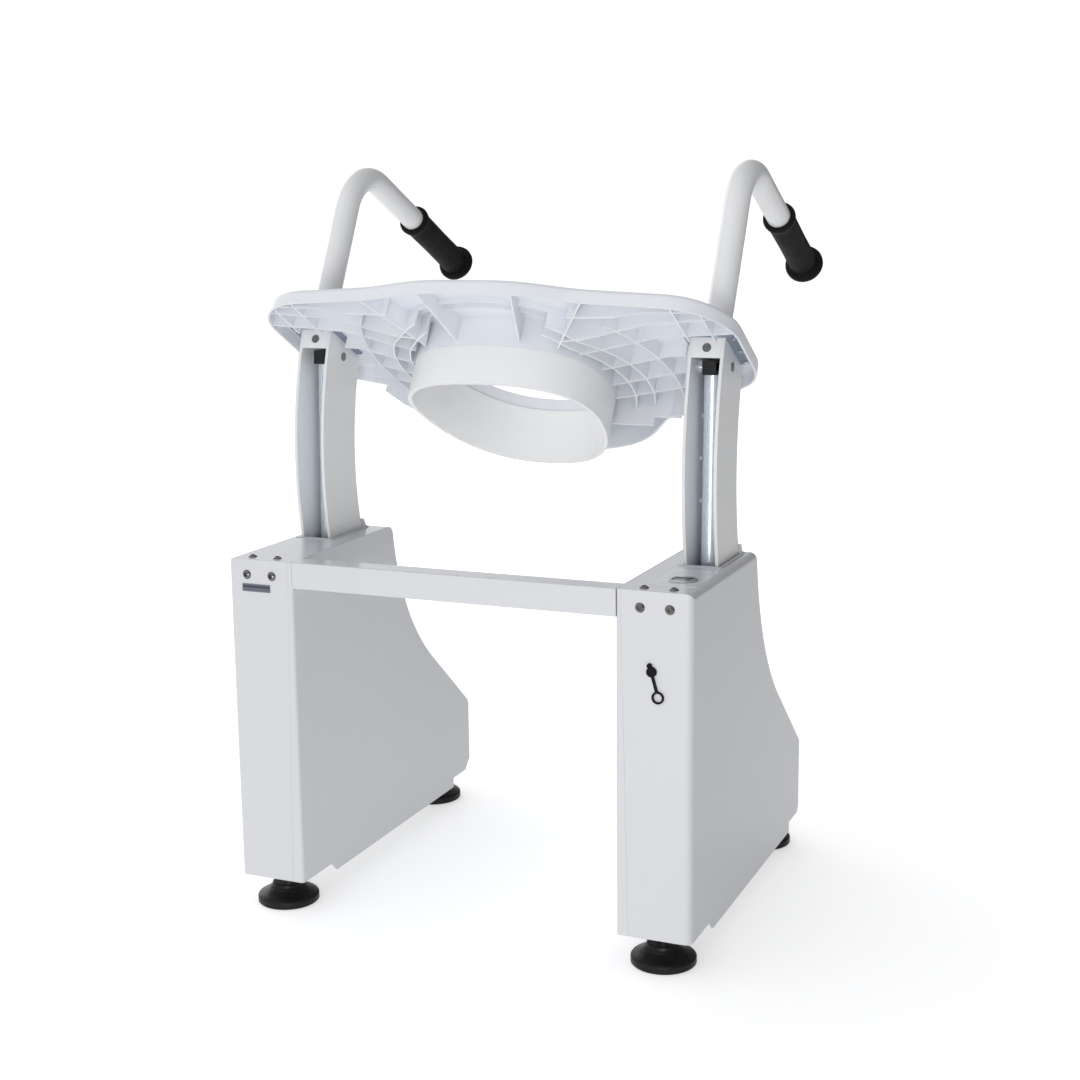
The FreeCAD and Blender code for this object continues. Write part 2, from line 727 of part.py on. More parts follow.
# The post ends above the rod's end, which turns under it as the seat comes down.
POST_FOOT = 7.2
socket_tool = rod(cell("tube_radius") + 0.1, along_post(POST_FOOT), along_post(60))
head_block = ring_sector(
    cell("column_front_radius") + WALL, cell("column_rear_radius"),
    12, 25, COLUMN_MID - CHANNEL_HALF + 0.05, COLUMN_MID + CHANNEL_HALF - 0.05,
)
below_head = box(200, 340, 100, 400, 600, 716.5)
rod_end_room = seat_box(200, 340, 104, 200, -60, POST_FOOT)
rod_end_room.Placement = seat_frame.multiply(rod_end_room.Placement)
local_head = head_block.cut(above_column).cut(below_head).cut(rod_end_room)
socket_tool.Placement = seat_frame.multiply(socket_tool.Placement)
plug_spot = on_ring(cell("column_rear_radius"), 18.7, COLUMN_MID)
plug_away = (plug_spot - at(AXIS_DEPTH, AXIS_Z, COLUMN_MID)).normalize()
plug_hole = rod(5.6, plug_spot - plug_away * 1.1, plug_spot + plug_away * 5)
both_sides("column_head", local_head.cut(socket_tool).cut(plug_hole))
both_sides("column", column.cut(socket_tool))
plug = rod(5.5, plug_spot - plug_away * 1.0, plug_spot - plug_away * 0.1)
feature("head_plugs", Part.Compound(both_halves(plug)))

# Cross pin at the top of each actuator, with its two spacers.
pin_head = 0.8
pin = pivot_rod(cell("pin_radius"), cell("column_inner") - 0.1, COLUMN_OUTER + 0.1)
heads = [
    pivot_rod(5.6, cell("column_inner") - pin_head, cell("column_inner")),
    pivot_rod(5.6, COLUMN_OUTER, COLUMN_OUTER + pin_head),
]
both_sides("lift_pin", fused([pin] + heads))
half_end = cell("rod_end_width") / 2
spacers = []
for side in (-1, 1):
    spacer_xs = COLUMN_MID + side * (half_end + 0.5), COLUMN_MID + side * CHANNEL_HALF
    spacers += both_halves(pivot_rod(8, *spacer_xs).cut(pin_hole))
feature("pin_spacers", Part.Compound(spacers))

# ---------------------------------------------------------------- actuators

# The pin runs on an arc, so the rod's end has a cross slot half the arc's rise each way.
travel = cell("lift_travel")
pivot_low = on_ring(cell("pin_ring_radius"), cell("pin_angle") - travel, COLUMN_MID)
chord = (pivot - pivot_low).normalize()
forward = X_AXIS.cross(chord).normalize()
arc_rise = cell("pin_ring_radius") * (1 - math.cos(math.radians(travel / 2)))
rod_top = pivot - forward * (arc_rise / 2)
stroke = (pivot - pivot_low).Length
slot_up = cell("pin_radius") + 0.8
slot_half = arc_rise / 2 + slot_up


def actuator_box(across, ahead, up):
    """A block in the actuator's own frame: (low, high) across, ahead and up its axis."""
    corner = rod_top + X_AXIS * across[0] + forward * ahead[0] + chord * up[0]
    face = Part.Face(Part.makePolygon([
        corner,
        corner + X_AXIS * (across[1] - across[0]),
        corner + X_AXIS * (across[1] - across[0]) + forward * (ahead[1] - ahead[0]),
        corner + forward * (ahead[1] - ahead[0]),
        corner,
    ]))
    return face.extrude(chord * (up[1] - up[0]))


end_wall = 3.0
end_up = slot_up + end_wall
end_ahead = slot_half + 4.5
rod_end = actuator_box((-half_end, half_end), (-end_ahead, end_ahead), (-end_up, end_up))
slot_parts = [actuator_box((-20, 20), (-arc_rise / 2, arc_rise / 2), (-slot_up, slot_up))]
for side in (-1, 1):
    slot_end = rod_top + forward * (side * arc_rise / 2)
    slot_parts.append(rod(slot_up, slot_end - X_AXIS * 20, slot_end + X_AXIS * 20))
both_sides("rod_end", rod_end.cut(fused(slot_parts)))
rod_start = rod_top - chord * end_up
actuator_rod = rod(cell("rod_radius"), rod_start - chord * cell("rod_length"), rod_start)
both_sides("actuator_rod", actuator_rod)

jacket_top = rod_top - chord * (stroke + end_up + 4)
jacket_foot = rod_top - chord * (end_up + cell("rod_length") + stroke + 12)
jacket = rod(cell("jacket_radius"), jacket_foot, jacket_top)
wiper = rod(cell("jacket_radius") + 2, jacket_top - chord * 10, jacket_top - chord * 0.5)
bore = rod(cell("rod_radius") + cell("running_gap"), jacket_foot + chord * 8, jacket_top + chord)
both_sides("actuator_jacket", fused([jacket, wiper]).cut(bore))


def from_foot(across, ahead, up):
    """A block placed from the jacket's foot."""
    shift = (jacket_foot - rod_top).dot(chord)
    return actuator_box(across, ahead, (up[0] + shift, up[1] + shift))


gear_case = from_foot((-20, 20), (-20, 66), (-30, 0))
foot_lug = from_foot((-8, 8), (-8, 8), (-44, -30))
gearbox = fused([gear_case, foot_lug])
base_pin_spot = jacket_foot - chord * 38
base_pin_hole = rod(cell("pin_radius") + 0.1, base_pin_spot - X_AXIS * 30, base_pin_spot + X_AXIS * 30)
both_sides("gearbox", gearbox.cut(base_pin_hole))
motor_foot = jacket_foot + forward * 42
both_sides("lift_motor", fused([
    rod(21, motor_foot, motor_foot + chord * 96),
    rod(14, motor_foot + chord * 96, motor_foot + chord * 104),
]))
ears = []
ear_top = base_pin_spot.z + 6.5
for side in (-1, 1):
    x0 = COLUMN_MID + side * 11 - 2.5
    ears.append(slab(
        [Vector(x0, base_pin_spot.y - 14, BASE_TOP), Vector(x0, base_pin_spot.y + 14, BASE_TOP),
         Vector(x0, base_pin_spot.y + 8, ear_top), Vector(x0, base_pin_spot.y - 8, ear_top)],
        X_AXIS * 5,
    ))
foot_plate = Part.makeBox(40, 50, 4, Vector(COLUMN_MID - 20, base_pin_spot.y - 25, BASE_TOP))
both_sides("actuator_bracket", fused([foot_plate] + ears).cut(base_pin_hole))
base_pin = rod(cell("pin_radius"), base_pin_spot - X_AXIS * 15, base_pin_spot + X_AXIS * 15)
feature("base_pins", Part.Compound(both_halves(base_pin)))

# ---------------------------------------------------------------- seat

SEAT_TOP = cell("seat_thickness")
DECK = cell("deck_wall")
# Right half of the seat's outline as corners: across, forward and the corner's radius.
OUTLINE = [
    (60, -43, 250), (140, -22, 250), (317, -3, 84),
    (315, 200, 75), (179.4, 256.4, 40), (96.5, 384, 175),
]


def rounded_outline(corners, up):
    """A closed outline of straight lines with an arc at every corner."""
    points = [on_seat(x, s, up) for x, s, _ in corners]
    edges = []
    last_end = None
    first_start = None
    for i, (_, _, radius) in enumerate(corners):
        point = points[i]
        back = (points[i - 1] - point).normalize()
        ahead = (points[(i + 1) % len(points)] - point).normalize()
        half = back.getAngle(ahead) / 2
        start = point + back * (radius / math.tan(half))
        end = point + ahead * (radius / math.tan(half))
        middle = point + (back + ahead).normalize() * (radius / math.sin(half) - radius)
        if last_end is not None and (start - last_end).Length > 0.01:
            edges.append(Part.makeLine(last_end, start))
        edges.append(Part.Arc(start, middle, end).toShape())
        first_start = first_start or start
        last_end = end
    edges.append(Part.makeLine(last_end, first_start))
    return Part.Wire(edges)


def seat_outline(inset, up):
    """The seat's closed outline, drawn in by inset."""
    mirror_half = [(-x, s, radius) for x, s, radius in reversed(OUTLINE)]
    wire = rounded_outline(OUTLINE + mirror_half, up)
    return wire.makeOffset2D(-inset) if inset else wire


def bowl_outline(grow, up):
    """The egg-shaped outline of the bowl opening, as a smooth curve through a formula."""
    points = []
    count = 24
    power = 2 / cell("bowl_squareness")
    for i in range(count):
        turn = 2 * math.pi * (i + 0.5) / count
        c, k = math.cos(turn), math.sin(turn)
        across = math.copysign(abs(c) ** power, c)
        ahead = math.copysign(abs(k) ** power, k)
        points.append(on_seat(
            (cell("bowl_half_width") + grow) * across * (1 - cell("bowl_egg") * ahead),
            cell("bowl_centre") + (cell("bowl_half_length") + grow) * ahead,
            up,
        ))
    curve = Part.BSplineCurve()
    curve.interpolate(points, PeriodicFlag=True)
    return Part.Wire(curve.toShape())


def upright(wire, height):
    return Part.Face(wire).extrude(Z_AXIS * height)


def bowl_plug(grow, low, high):
    return upright(bowl_outline(grow, low), high - low)


APRON = 24.0
outer_block = upright(seat_outline(0, 0), SEAT_TOP)
top_edges = [e for e in outer_block.Edges if e.BoundBox.ZMin > SEAT_TOP - 0.1]
outer_block = outer_block.makeFillet(7.0, top_edges)
inner_block = upright(seat_outline(DECK, -1), BRACKET_TOP + 1)
deck = outer_block.cut(inner_block)

# Front apron: deeper than the rest of the rim, with its depth running out into the wings.
apron_outside = upright(seat_outline(0, -APRON), APRON + 1)
apron_inside = upright(seat_outline(DECK, -APRON - 1), APRON + 3)
apron = apron_outside.cut(apron_inside).common(seat_box(-246, 246, 236, 400, -APRON, 1))
for side in (-1, 1):
    ramp_corners = [(side * 197, -APRON - 1), (side * 250, -APRON - 1), (side * 250, 2)]
    ramp = slab([on_seat(x, 200, up) for x, up in ramp_corners], on_seat(0, 100, 0))
    apron = apron.cut(ramp)
cross_wall = seat_box(-196, 196, 253, 253 + DECK, -APRON, BRACKET_TOP + 0.5)
deep_wall = seat_box(-160, 160, 253, 253 + DECK, -36, -APRON + 1)

# Ribs: straight ones across each wing, rings round the bowl, and radial ones at the rear.
RIB = cell("rib_thickness")
RIB_LOW, RIB_HIGH = -26.0, BRACKET_TOP + 0.5
# Each rib line on the user's left: across and forward at one end and at the other.
RIB_LINES = [
    ((120, 8), (300, 3)), ((100, 54), (310, 18)), ((112, 86), (314, 56)),
    ((116, 135), (250, 118)), ((116, 180), (250, 166)), ((110, 219), (236, 210)),
    ((251, -14), (251, 84)), ((284, 0), (284, 84)),
    ((42, 60), (64, -44)), ((90, 68), (150, -26)),
]
# Rings round the bowl: half width and half length.
RINGS = [(146, 168), (170, 184), (205, 262)]
LOW_STEP = 10.0


def straight_rib(start, end):
    """An upright rib between two points of the seat's plan."""
    first, last = on_seat(*start, RIB_LOW), on_seat(*end, RIB_LOW)
    aside = (last - first).cross(Z_AXIS).normalize() * (RIB / 2)
    rise = Z_AXIS * (RIB_HIGH - RIB_LOW)
    return slab([p - aside for p in (first, last, last + rise, first + rise)], aside * 2)


def ring_rib(half_width, half_length):
    centre = on_seat(0, cell("bowl_centre"), RIB_LOW)
    long_axis = Y_AXIS if half_length > half_width else X_AXIS
    rings = []
    for grow in (RIB / 2, -RIB / 2):
        major, minor = max(half_width, half_length) + grow, min(half_width, half_length) + grow
        side_point = centre + Z_AXIS.cross(long_axis) * minor
        ellipse = Part.Ellipse(centre + long_axis * major, side_point, centre)
        rings.append(upright(Part.Wire(ellipse.toShape()), RIB_HIGH - RIB_LOW))
    return rings[0].cut(rings[1])


straight = []
for line in RIB_LINES:
    straight += both_halves(straight_rib(*line))
rings = [ring_rib(*ring) for ring in RINGS]

inside = upright(seat_outline(1.0, -60), 60 + RIB_HIGH)
column_room = [seat_box(*pair, 80, 192, -60, BRACKET_TOP) for pair in ((236, 330), (-330, -236))]
over_housings = [seat_box(*pair, -100, 400, -60, 1) for pair in ((213, 330), (-330, -213))]
low_front = seat_box(-400, 400, 254, 500, -60, 9)
bowl_middle = bowl_plug(-1, -60, 60)
# The ribs' lower edges lie on planes that rise from the boss to each housing and to the rear.
wing_slope = slab(
    [on_seat(100, -100, -60), on_seat(214, -100, -60), on_seat(214, -100, 1), on_seat(100, -100, -19)],
    on_seat(0, 500, 0),
)
rear_slope = slab(
    [on_seat(-400, 70, -60), on_seat(-400, 70, -18), on_seat(-400, -60, 8), on_seat(-400, -60, -60)],
    X_AXIS * 800,
)
# behind the bowl the rings are no more than low steps
rear_middle = slab(
    [on_seat(0, 180, -60), on_seat(-134, -60, -60), on_seat(134, -60, -60)], Z_AXIS * (60 + LOW_STEP)
)
outer_ring_start = seat_box(-400, 400, -100, 22, -60, RIB_HIGH + 1)
trimmed = column_room + over_housings + both_halves(wing_slope) + [low_front, bowl_middle, rear_slope]
lattice = Part.Compound(straight).cut(trimmed)
inner_rings = Part.Compound(rings[:2]).cut(trimmed + [rear_middle])
outer_ring = rings[2].cut(trimmed + [outer_ring_start])
boss = bowl_plug(0, -cell("boss_depth"), SEAT_TOP - 1)
pieces = [deck, apron, cross_wall, deep_wall, boss]
pieces += [one.common(inside) for one in (lattice, inner_rings, outer_ring)]
bowl_room = [bowl_plug(-2.6, -60, 60), bowl_plug(0.4, -60, -cell("boss_depth"))]
seat = pieces[0].multiFuse(pieces[1:]).cut(bowl_room)
post_hole = rod(cell("tube_radius") + 0.3, along_post(-20), along_post(60))
seat_holes = both_halves(post_hole)
SEAT_SCREW_X = 301.0
SEAT_SCREWS = [96.0, 128.0, 160.0]
SEAT_SCREW_HOLE = 2.05
for s in SEAT_SCREWS:
    foot, tip = on_seat(SEAT_SCREW_X, s, BRACKET_BASE - 5), on_seat(SEAT_SCREW_X, s, BRACKET_TOP + 2.2)
    seat_holes += both_halves(rod(SEAT_SCREW_HOLE, foot, tip))
seat = seat.cut(seat_holes)


def round_bowl(edge):
    """Whether an edge goes round the bowl opening on the seat's upper face."""
    reach = edge.BoundBox
    middle = -cell("bowl_centre")
    return (
        reach.ZMin > SEAT_TOP - 0.05
        and reach.XLength > 100
        and reach.YMin > middle - 140
        and reach.YMax < middle + 140
    )


bowl_edges = [e for e in seat.Edges if round_bowl(e)]
assert bowl_edges, "no edge round the bowl opening"
seat = seat.makeFillet(1.2, bowl_edges)
feature("seat", seat, seat_frame)

# Splash collar: a spigot inside the seat's boss, then a full-width skirt below it.
spigot = bowl_plug(-2.9, -cell("boss_depth"), 2)
skirt = bowl_plug(0, -cell("collar_depth"), -cell("boss_depth"))
collar = fused([spigot, skirt]).cut(bowl_plug(-5.3, -100, 50))
feature("splash_collar", collar, seat_frame)

# Steel bracket between each column's top and the seat, with its screws.
bracket = seat_box(238, 307, 83, 168, BRACKET_BASE, BRACKET_TOP).cut(post_hole)
bracket_screws = []
for s in SEAT_SCREWS:
    low, high = on_seat(SEAT_SCREW_X, s, BRACKET_BASE), on_seat(SEAT_SCREW_X, s, BRACKET_TOP + 2)
    bracket = bracket.cut(rod(SEAT_SCREW_HOLE, low - Z_AXIS, high))
    bracket_screws += both_halves(fused([rod(2, low - Z_AXIS, high), rod(3.6, low - Z_AXIS * 2.2, low)]))
both_sides("seat_bracket", bracket, seat_frame)
feature("bracket_screws", Part.Compound(bracket_screws), seat_frame)

# ---------------------------------------------------------------- handles and grips

ARM_RISE = 4.4
ARM_S, ARM_UP = 271.0, 281.0
rise = math.radians(ARM_RISE)
arm_direction = on_seat(0, math.cos(rise), math.sin(rise))
arm_on_axis = on_seat(cell("handle_x"), ARM_S, ARM_UP)
# where the post's axis meets the arm's axis
post_slope = -math.tan(lean)
arm_slope = math.tan(rise)
gap_at_base = POST_S - post_slope * POST_UP - ARM_S
corner_up = (ARM_UP + arm_slope * gap_at_base) / (1 - arm_slope * post_slope)
corner = along_post(corner_up)
turn_angle = math.acos(post_direction.dot(arm_direction))
setback = cell("bend_radius") * math.tan(turn_angle / 2)
bend_start = corner - post_direction * setback
bend_end = corner + arm_direction * setback
bisector = (arm_direction - post_direction).normalize()
bend_middle = corner + bisector * (cell("bend_radius") / math.cos(turn_angle / 2) - cell("bend_radius"))
GRIP_END = 440.0
arm_end = arm_on_axis + arm_direction * ((GRIP_END - 5 - ARM_S) / math.cos(rise))
post_foot = along_post(POST_FOOT + 1)
path = Part.Wire([
    Part.makeLine(post_foot, bend_start),
    Part.Arc(bend_start, bend_middle, bend_end).toShape(),
    Part.makeLine(bend_end, arm_end),
])


def tube_along(radius):
    circle = Part.Wire(Part.makeCircle(radius, post_foot, post_direction))
    return path.makePipeShell([circle], True, False)


handle = tube_along(cell("tube_radius")).cut(tube_along(cell("tube_radius") - cell("tube_wall")))
set_screw_spot = along_post(34) + on_seat(0, -cell("tube_radius"), 0)
rearward = on_seat(0, -1, 0)
screw_bore = rod(2.6, set_screw_spot - rearward * 3, set_screw_spot + rearward * 2)
# drain hole under the arm, just past the bend
drain = rod(3.0, bend_end - bisector * 40, bend_end)
both_sides("handle", handle.cut([screw_bore, drain]), seat_frame)
set_screw = fused([
    rod(2.5, set_screw_spot - rearward * 2.5, set_screw_spot + rearward * 1),
    rod(4.2, set_screw_spot + rearward * 0.6, set_screw_spot + rearward * 2.8),
])
feature("handle_set_screws", Part.Compound(both_halves(set_screw)), seat_frame)

grip_start = arm_end - arm_direction * (cell("grip_length") - 5)
grip = revolved(
    "left_grip",
    [
        ("Sheet.tube_radius + 0.05", "0"), ("Sheet.grip_radius + 0.5", "0"),
        ("Sheet.grip_radius + 2.2", "2"), ("Sheet.grip_radius + 2.8", "5"),
        ("Sheet.grip_radius + 2.2", "9"), ("Sheet.grip_radius + 0.4", "12.5"), ("Sheet.grip_radius", "15"),
        ("Sheet.grip_radius - 0.6", "Sheet.grip_length * 0.5"),
        ("Sheet.grip_radius", "Sheet.grip_length - 16"),
        ("Sheet.grip_radius + 0.8", "Sheet.grip_length - 14"),
        ("Sheet.grip_radius + 5", "Sheet.grip_length - 12.5"),
        ("Sheet.grip_radius + 6.6", "Sheet.grip_length - 10.5"),
        ("Sheet.grip_radius + 7.3", "Sheet.grip_length - 7.5"),
        ("Sheet.grip_radius + 7", "Sheet.grip_length - 4"),
        ("Sheet.grip_radius + 5", "Sheet.grip_length - 1.2"),
        ("Sheet.grip_radius + 1", "Sheet.grip_length"),
        ("0", "Sheet.grip_length"), ("0", "Sheet.grip_length - 4.8"),
        ("Sheet.tube_radius + 0.05", "Sheet.grip_length - 4.8"),
    ],
)
grip.Placement = seat_frame.multiply(Placement(grip_start, Rotation(Z_AXIS, arm_direction)))
doc.recompute()
mirrored("right_grip", grip)

# ---------------------------------------------------------------- feet

KNUCKLE_Z, KNUCKLE_RADIUS, KNUCKLE_HALF = 15.0, 7.0, 8.0
STEM_NUT_Z, THREAD_Z, THREAD_TOP = 31.0, 37.0, 92.0
LOCK_NUT_Z = 43.5


def foot_stem(x, depth):
    """A threaded stem with a hexagon, on a knuckle that lies across the pad."""
    knuckle = rod(
        KNUCKLE_RADIUS,
        at(depth, KNUCKLE_Z, x - KNUCKLE_HALF),
        at(depth, KNUCKLE_Z, x + KNUCKLE_HALF),
    )
    neck = rod(4.5, at(depth, KNUCKLE_Z, x), at(depth, STEM_NUT_Z, x))
    stem_nut = hexagon(9.0, at(depth, STEM_NUT_Z, x), THREAD_Z - STEM_NUT_Z)
    thread = rod(cell("stem_radius"), at(depth, THREAD_Z, x), at(depth, THREAD_TOP, x))
    return fused([knuckle, neck, stem_nut, thread])


def lock_nut(x, depth):
    nut = hexagon(10.5, at(depth, LOCK_NUT_Z, x), cell("base_plate_z") - LOCK_NUT_Z)
    return nut.cut(rod(cell("stem_radius") + cell("running_gap"), at(depth, 40, x), at(depth, 60, x)))


def foot_pad(name, x, depth):
    """A turned pad, less the room for the stem's knuckle and neck."""
    blank = revolved(f"{name}_blank", PAD_SECTION)
    nodes.remove(blank)
    blank.Placement = Placement(at(depth, 0, x), Rotation())
    doc.recompute()
    knuckle_room = doc.addObject("Part::Cylinder", f"{name}_knuckle_room")
    knuckle_room.Radius = KNUCKLE_RADIUS + cell("running_gap")
    knuckle_room.Height = 2 * KNUCKLE_HALF + 0.4
    room_start = at(depth, KNUCKLE_Z, x - KNUCKLE_HALF - 0.2)
    knuckle_room.Placement = Placement(room_start, Rotation(Z_AXIS, X_AXIS))
    neck_room = doc.addObject("Part::Cone", f"{name}_neck_room")
    neck_room.Radius1, neck_room.Radius2, neck_room.Height = 5.3, 7.6, 11.0
    neck_room.Placement = Placement(at(depth, KNUCKLE_Z + 3, x), Rotation())
    room = doc.addObject("Part::Fuse", f"{name}_room")
    room.Base, room.Tool = knuckle_room, neck_room
    pad_cut = doc.addObject("Part::Cut", name)
    pad_cut.Base, pad_cut.Tool = blank, room
    node(name, pad_cut)


# Half the pad's section: a low rim, then a hollowed slope up to a broad hub.
PAD_SECTION = [
    ("0", "0"), ("Sheet.pad_radius - 1.5", "0"), ("Sheet.pad_radius", "1.5"),
    ("Sheet.pad_radius", "8.5"), ("Sheet.pad_radius - 1", "10"), ("Sheet.pad_radius - 3.5", "11.5"),
    ("30", "14.5"), ("24.5", "18.5"), ("21.5", "22.5"), ("20.5", "25.5"), ("19", "26.5"), ("0", "26.5"),
]
nuts = []
for corner_name, depth in FOOT_DEPTHS.items():
    for side_name, side in SIDES.items():
        x = side * cell("foot_x")
        feature(f"{side_name}_{corner_name}_foot_stem", foot_stem(x, depth))
        foot_pad(f"{side_name}_{corner_name}_foot_pad", x, depth)
        nuts.append(lock_nut(x, depth))
feature("foot_lock_nuts", Part.Compound(nuts))

# ---------------------------------------------------------------- check and write

sheet.clear("D1")
doc.recompute()
problems = [o.Label for o in doc.Objects if {"Invalid", "Error"} & set(o.State)]
for obj in nodes:
    if obj.Shape.isNull() or not obj.Shape.isValid():
        problems.append(f"{obj.Label}: shape")
assert not problems, problems
labels = [o.Label for o in nodes]
assert len(labels) == len(set(labels)) <= 60, len(labels)

os.makedirs("parts", exist_ok=True)
for old in os.listdir("parts"):
    os.remove(os.path.join("parts", old))
for obj in nodes:
    obj.Shape.exportStep(f"parts/{obj.Label}.step")
whole = Part.Compound([o.Shape for o in nodes]).BoundBox
print(len(nodes), "nodes; box", whole)
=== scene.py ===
import json
import math

import bpy
from mathutils import Matrix, Vector


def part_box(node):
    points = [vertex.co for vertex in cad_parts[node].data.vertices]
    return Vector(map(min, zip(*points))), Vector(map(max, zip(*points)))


# A powered toilet lift in its raised pose. The CAD frame holds every shape and size. This
# script gives each part its finish, and sets up the floor, the lights and the camera.

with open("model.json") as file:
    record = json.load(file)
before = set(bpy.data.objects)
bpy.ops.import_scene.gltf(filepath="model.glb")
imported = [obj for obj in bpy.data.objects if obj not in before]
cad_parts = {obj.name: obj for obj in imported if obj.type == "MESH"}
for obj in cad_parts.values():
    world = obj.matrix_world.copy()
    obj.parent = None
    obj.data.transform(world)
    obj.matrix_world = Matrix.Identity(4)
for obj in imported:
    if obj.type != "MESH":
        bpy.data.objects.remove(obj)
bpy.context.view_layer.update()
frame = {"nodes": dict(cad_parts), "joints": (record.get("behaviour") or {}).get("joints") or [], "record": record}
NODES = frame["nodes"]

# ---------------------------------------------------------------- node helpers


class Surface:
    """A Principled material built up step by step from procedural nodes."""

    def __init__(self, name, colour, roughness, metallic=0.0, coat=0.0, specular=0.5):
        self.material = bpy.data.materials.new(name)
        self.material.use_nodes = True
        self.tree = self.material.node_tree
        self.shader = self.tree.nodes["Principled BSDF"]
        self.height = None
        self.shader.inputs["Base Color"].default_value = (*colour, 1)
        self.shader.inputs["Roughness"].default_value = roughness
        self.shader.inputs["Metallic"].default_value = metallic
        self.shader.inputs["Coat Weight"].default_value = coat
        self.shader.inputs["Coat Roughness"].default_value = 0.08
        self.shader.inputs["Specular IOR Level"].default_value = specular
        coordinates = self.add("ShaderNodeTexCoord")
        self.place = coordinates.outputs["Object"]

    def add(self, kind, **settings):
        node = self.tree.nodes.new(kind)
        for key, value in settings.items():
            setattr(node, key, value)
        return node

    def link(self, source, target):
        self.tree.links.new(source, target)

    def noise(self, scale, detail=4.0, stretch=None):
        """Noise in the object's own space, with features about 1 / scale metres across."""
        node = self.add("ShaderNodeTexNoise")
        node.inputs["Scale"].default_value = scale
        node.inputs["Detail"].default_value = detail
        source = self.place
        if stretch:
            mapping = self.add("ShaderNodeMapping")
            mapping.inputs["Scale"].default_value = stretch
            self.link(source, mapping.inputs["Vector"])
            source = mapping.outputs["Vector"]
        self.link(source, node.inputs["Vector"])
        return node.outputs["Fac"]

    def remap(self, source, low, high, span=(0.3, 0.7)):
        """Stretches a value's span, by default the one that noise fills, to low and high."""
        node = self.add("ShaderNodeMapRange")
        node.inputs["From Min"].default_value, node.inputs["From Max"].default_value = span
        node.inputs["To Min"].default_value, node.inputs["To Max"].default_value = low, high
        self.link(source, node.inputs["Value"])
        return node.outputs["Result"]

    def blend_colour(self, factor, other):
        """Mixes the colour so far towards another one by a factor socket."""
        node = self.add("ShaderNodeMix", data_type="RGBA")
        first, second = [i for i in node.inputs if i.type == "RGBA"]
        result = next(o for o in node.outputs if o.type == "RGBA")
        colour_in = self.shader.inputs["Base Color"]
        if colour_in.is_linked:
            self.link(colour_in.links[0].from_socket, first)
        else:
            first.default_value = colour_in.default_value
        second.default_value = (*other, 1)
        self.link(factor, node.inputs["Factor"])
        self.link(result, colour_in)

    def vary_colour(self, source, other, amount):
        """Mixes the base colour towards another one where the source is high."""
        self.blend_colour(self.remap(source, 0.0, amount), other)

    def vary_roughness(self, source, low, high):
        """Lets the roughness follow the source between two values."""
        self.link(self.remap(source, low, high), self.shader.inputs["Roughness"])

    def bump(self, source, distance, strength):
        """Adds a layer of relief, its height in metres, on top of the layers before it."""
        node = self.add("ShaderNodeBump")
        node.inputs["Strength"].default_value = strength
        node.inputs["Distance"].default_value = distance
        self.link(source, node.inputs["Height"])
        if self.height is not None:
            self.link(self.height, node.inputs["Normal"])
        self.height = node.outputs["Normal"]
        self.link(self.height, self.shader.inputs["Normal"])

    def soft_edges(self, radius):
        """Rounds the look of sharp edges, so that they catch the light. It goes before bump."""
        node = self.add("ShaderNodeBevel", samples=6)
        node.inputs["Radius"].default_value = radius
        self.height = node.outputs["Normal"]
        self.link(self.height, self.shader.inputs["Normal"])

    def math(self, operation, first, second):
        """Arithmetic on two sockets or numbers."""
        node = self.add("ShaderNodeMath", operation=operation)
        for socket, value in zip(node.inputs, (first, second)):
            if isinstance(value, (int, float)):
                socket.default_value = value
            else:
                self.link(value, socket)
        return node.outputs[0]

    def axis(self, name):
        """One coordinate of the object's own space, in metres."""
        split = self.add("ShaderNodeSeparateXYZ")
        self.link(self.place, split.inputs[0])
        return split.outputs[name]

    def between(self, value, low, high):
        """1 where the value lies between two limits, 0 elsewhere."""
        above = self.math("GREATER_THAN", value, low)
        return self.math("MULTIPLY", above, self.math("LESS_THAN", value, high))

    def paint_corner_shade(self, colour, amount, distance=0.02):
        """Paints shade into deep corners: darkens them slightly towards a colour by their ambient occlusion, as
        soft contact shade does.
        """
        node = self.add("ShaderNodeAmbientOcclusion", samples=6)
        node.inputs["Distance"].default_value = distance
        covered = self.math("SUBTRACT", 1.0, node.outputs["AO"])
        self.blend_colour(self.math("MULTIPLY", covered, amount), colour)


# ---------------------------------------------------------------- materials


def gloss_white():
    """Glossy white moulded covers, with a faint orange peel."""
    s = Surface("gloss_white", (0.72, 0.725, 0.745), 0.15, coat=0.25)
    s.soft_edges(0.0012)
    s.vary_colour(s.noise(2.5, 2), (0.70, 0.71, 0.735), 0.6)
    s.vary_roughness(s.noise(5, 2), 0.14, 0.17)
    s.bump(s.noise(420, 2), 0.000012, 0.3)
    return s.material


def powder_white():
    """White powder coat on steel: a finer, slightly pebbled gloss."""
    s = Surface("powder_white", (0.90, 0.90, 0.905), 0.26, coat=0.12)
    s.soft_edges(0.0008)
    s.vary_colour(s.noise(4.0, 2), (0.875, 0.88, 0.89), 0.5)
    s.vary_roughness(s.noise(9, 2), 0.25, 0.28)
    s.bump(s.noise(1100, 2), 0.00001, 0.3)
    return s.material


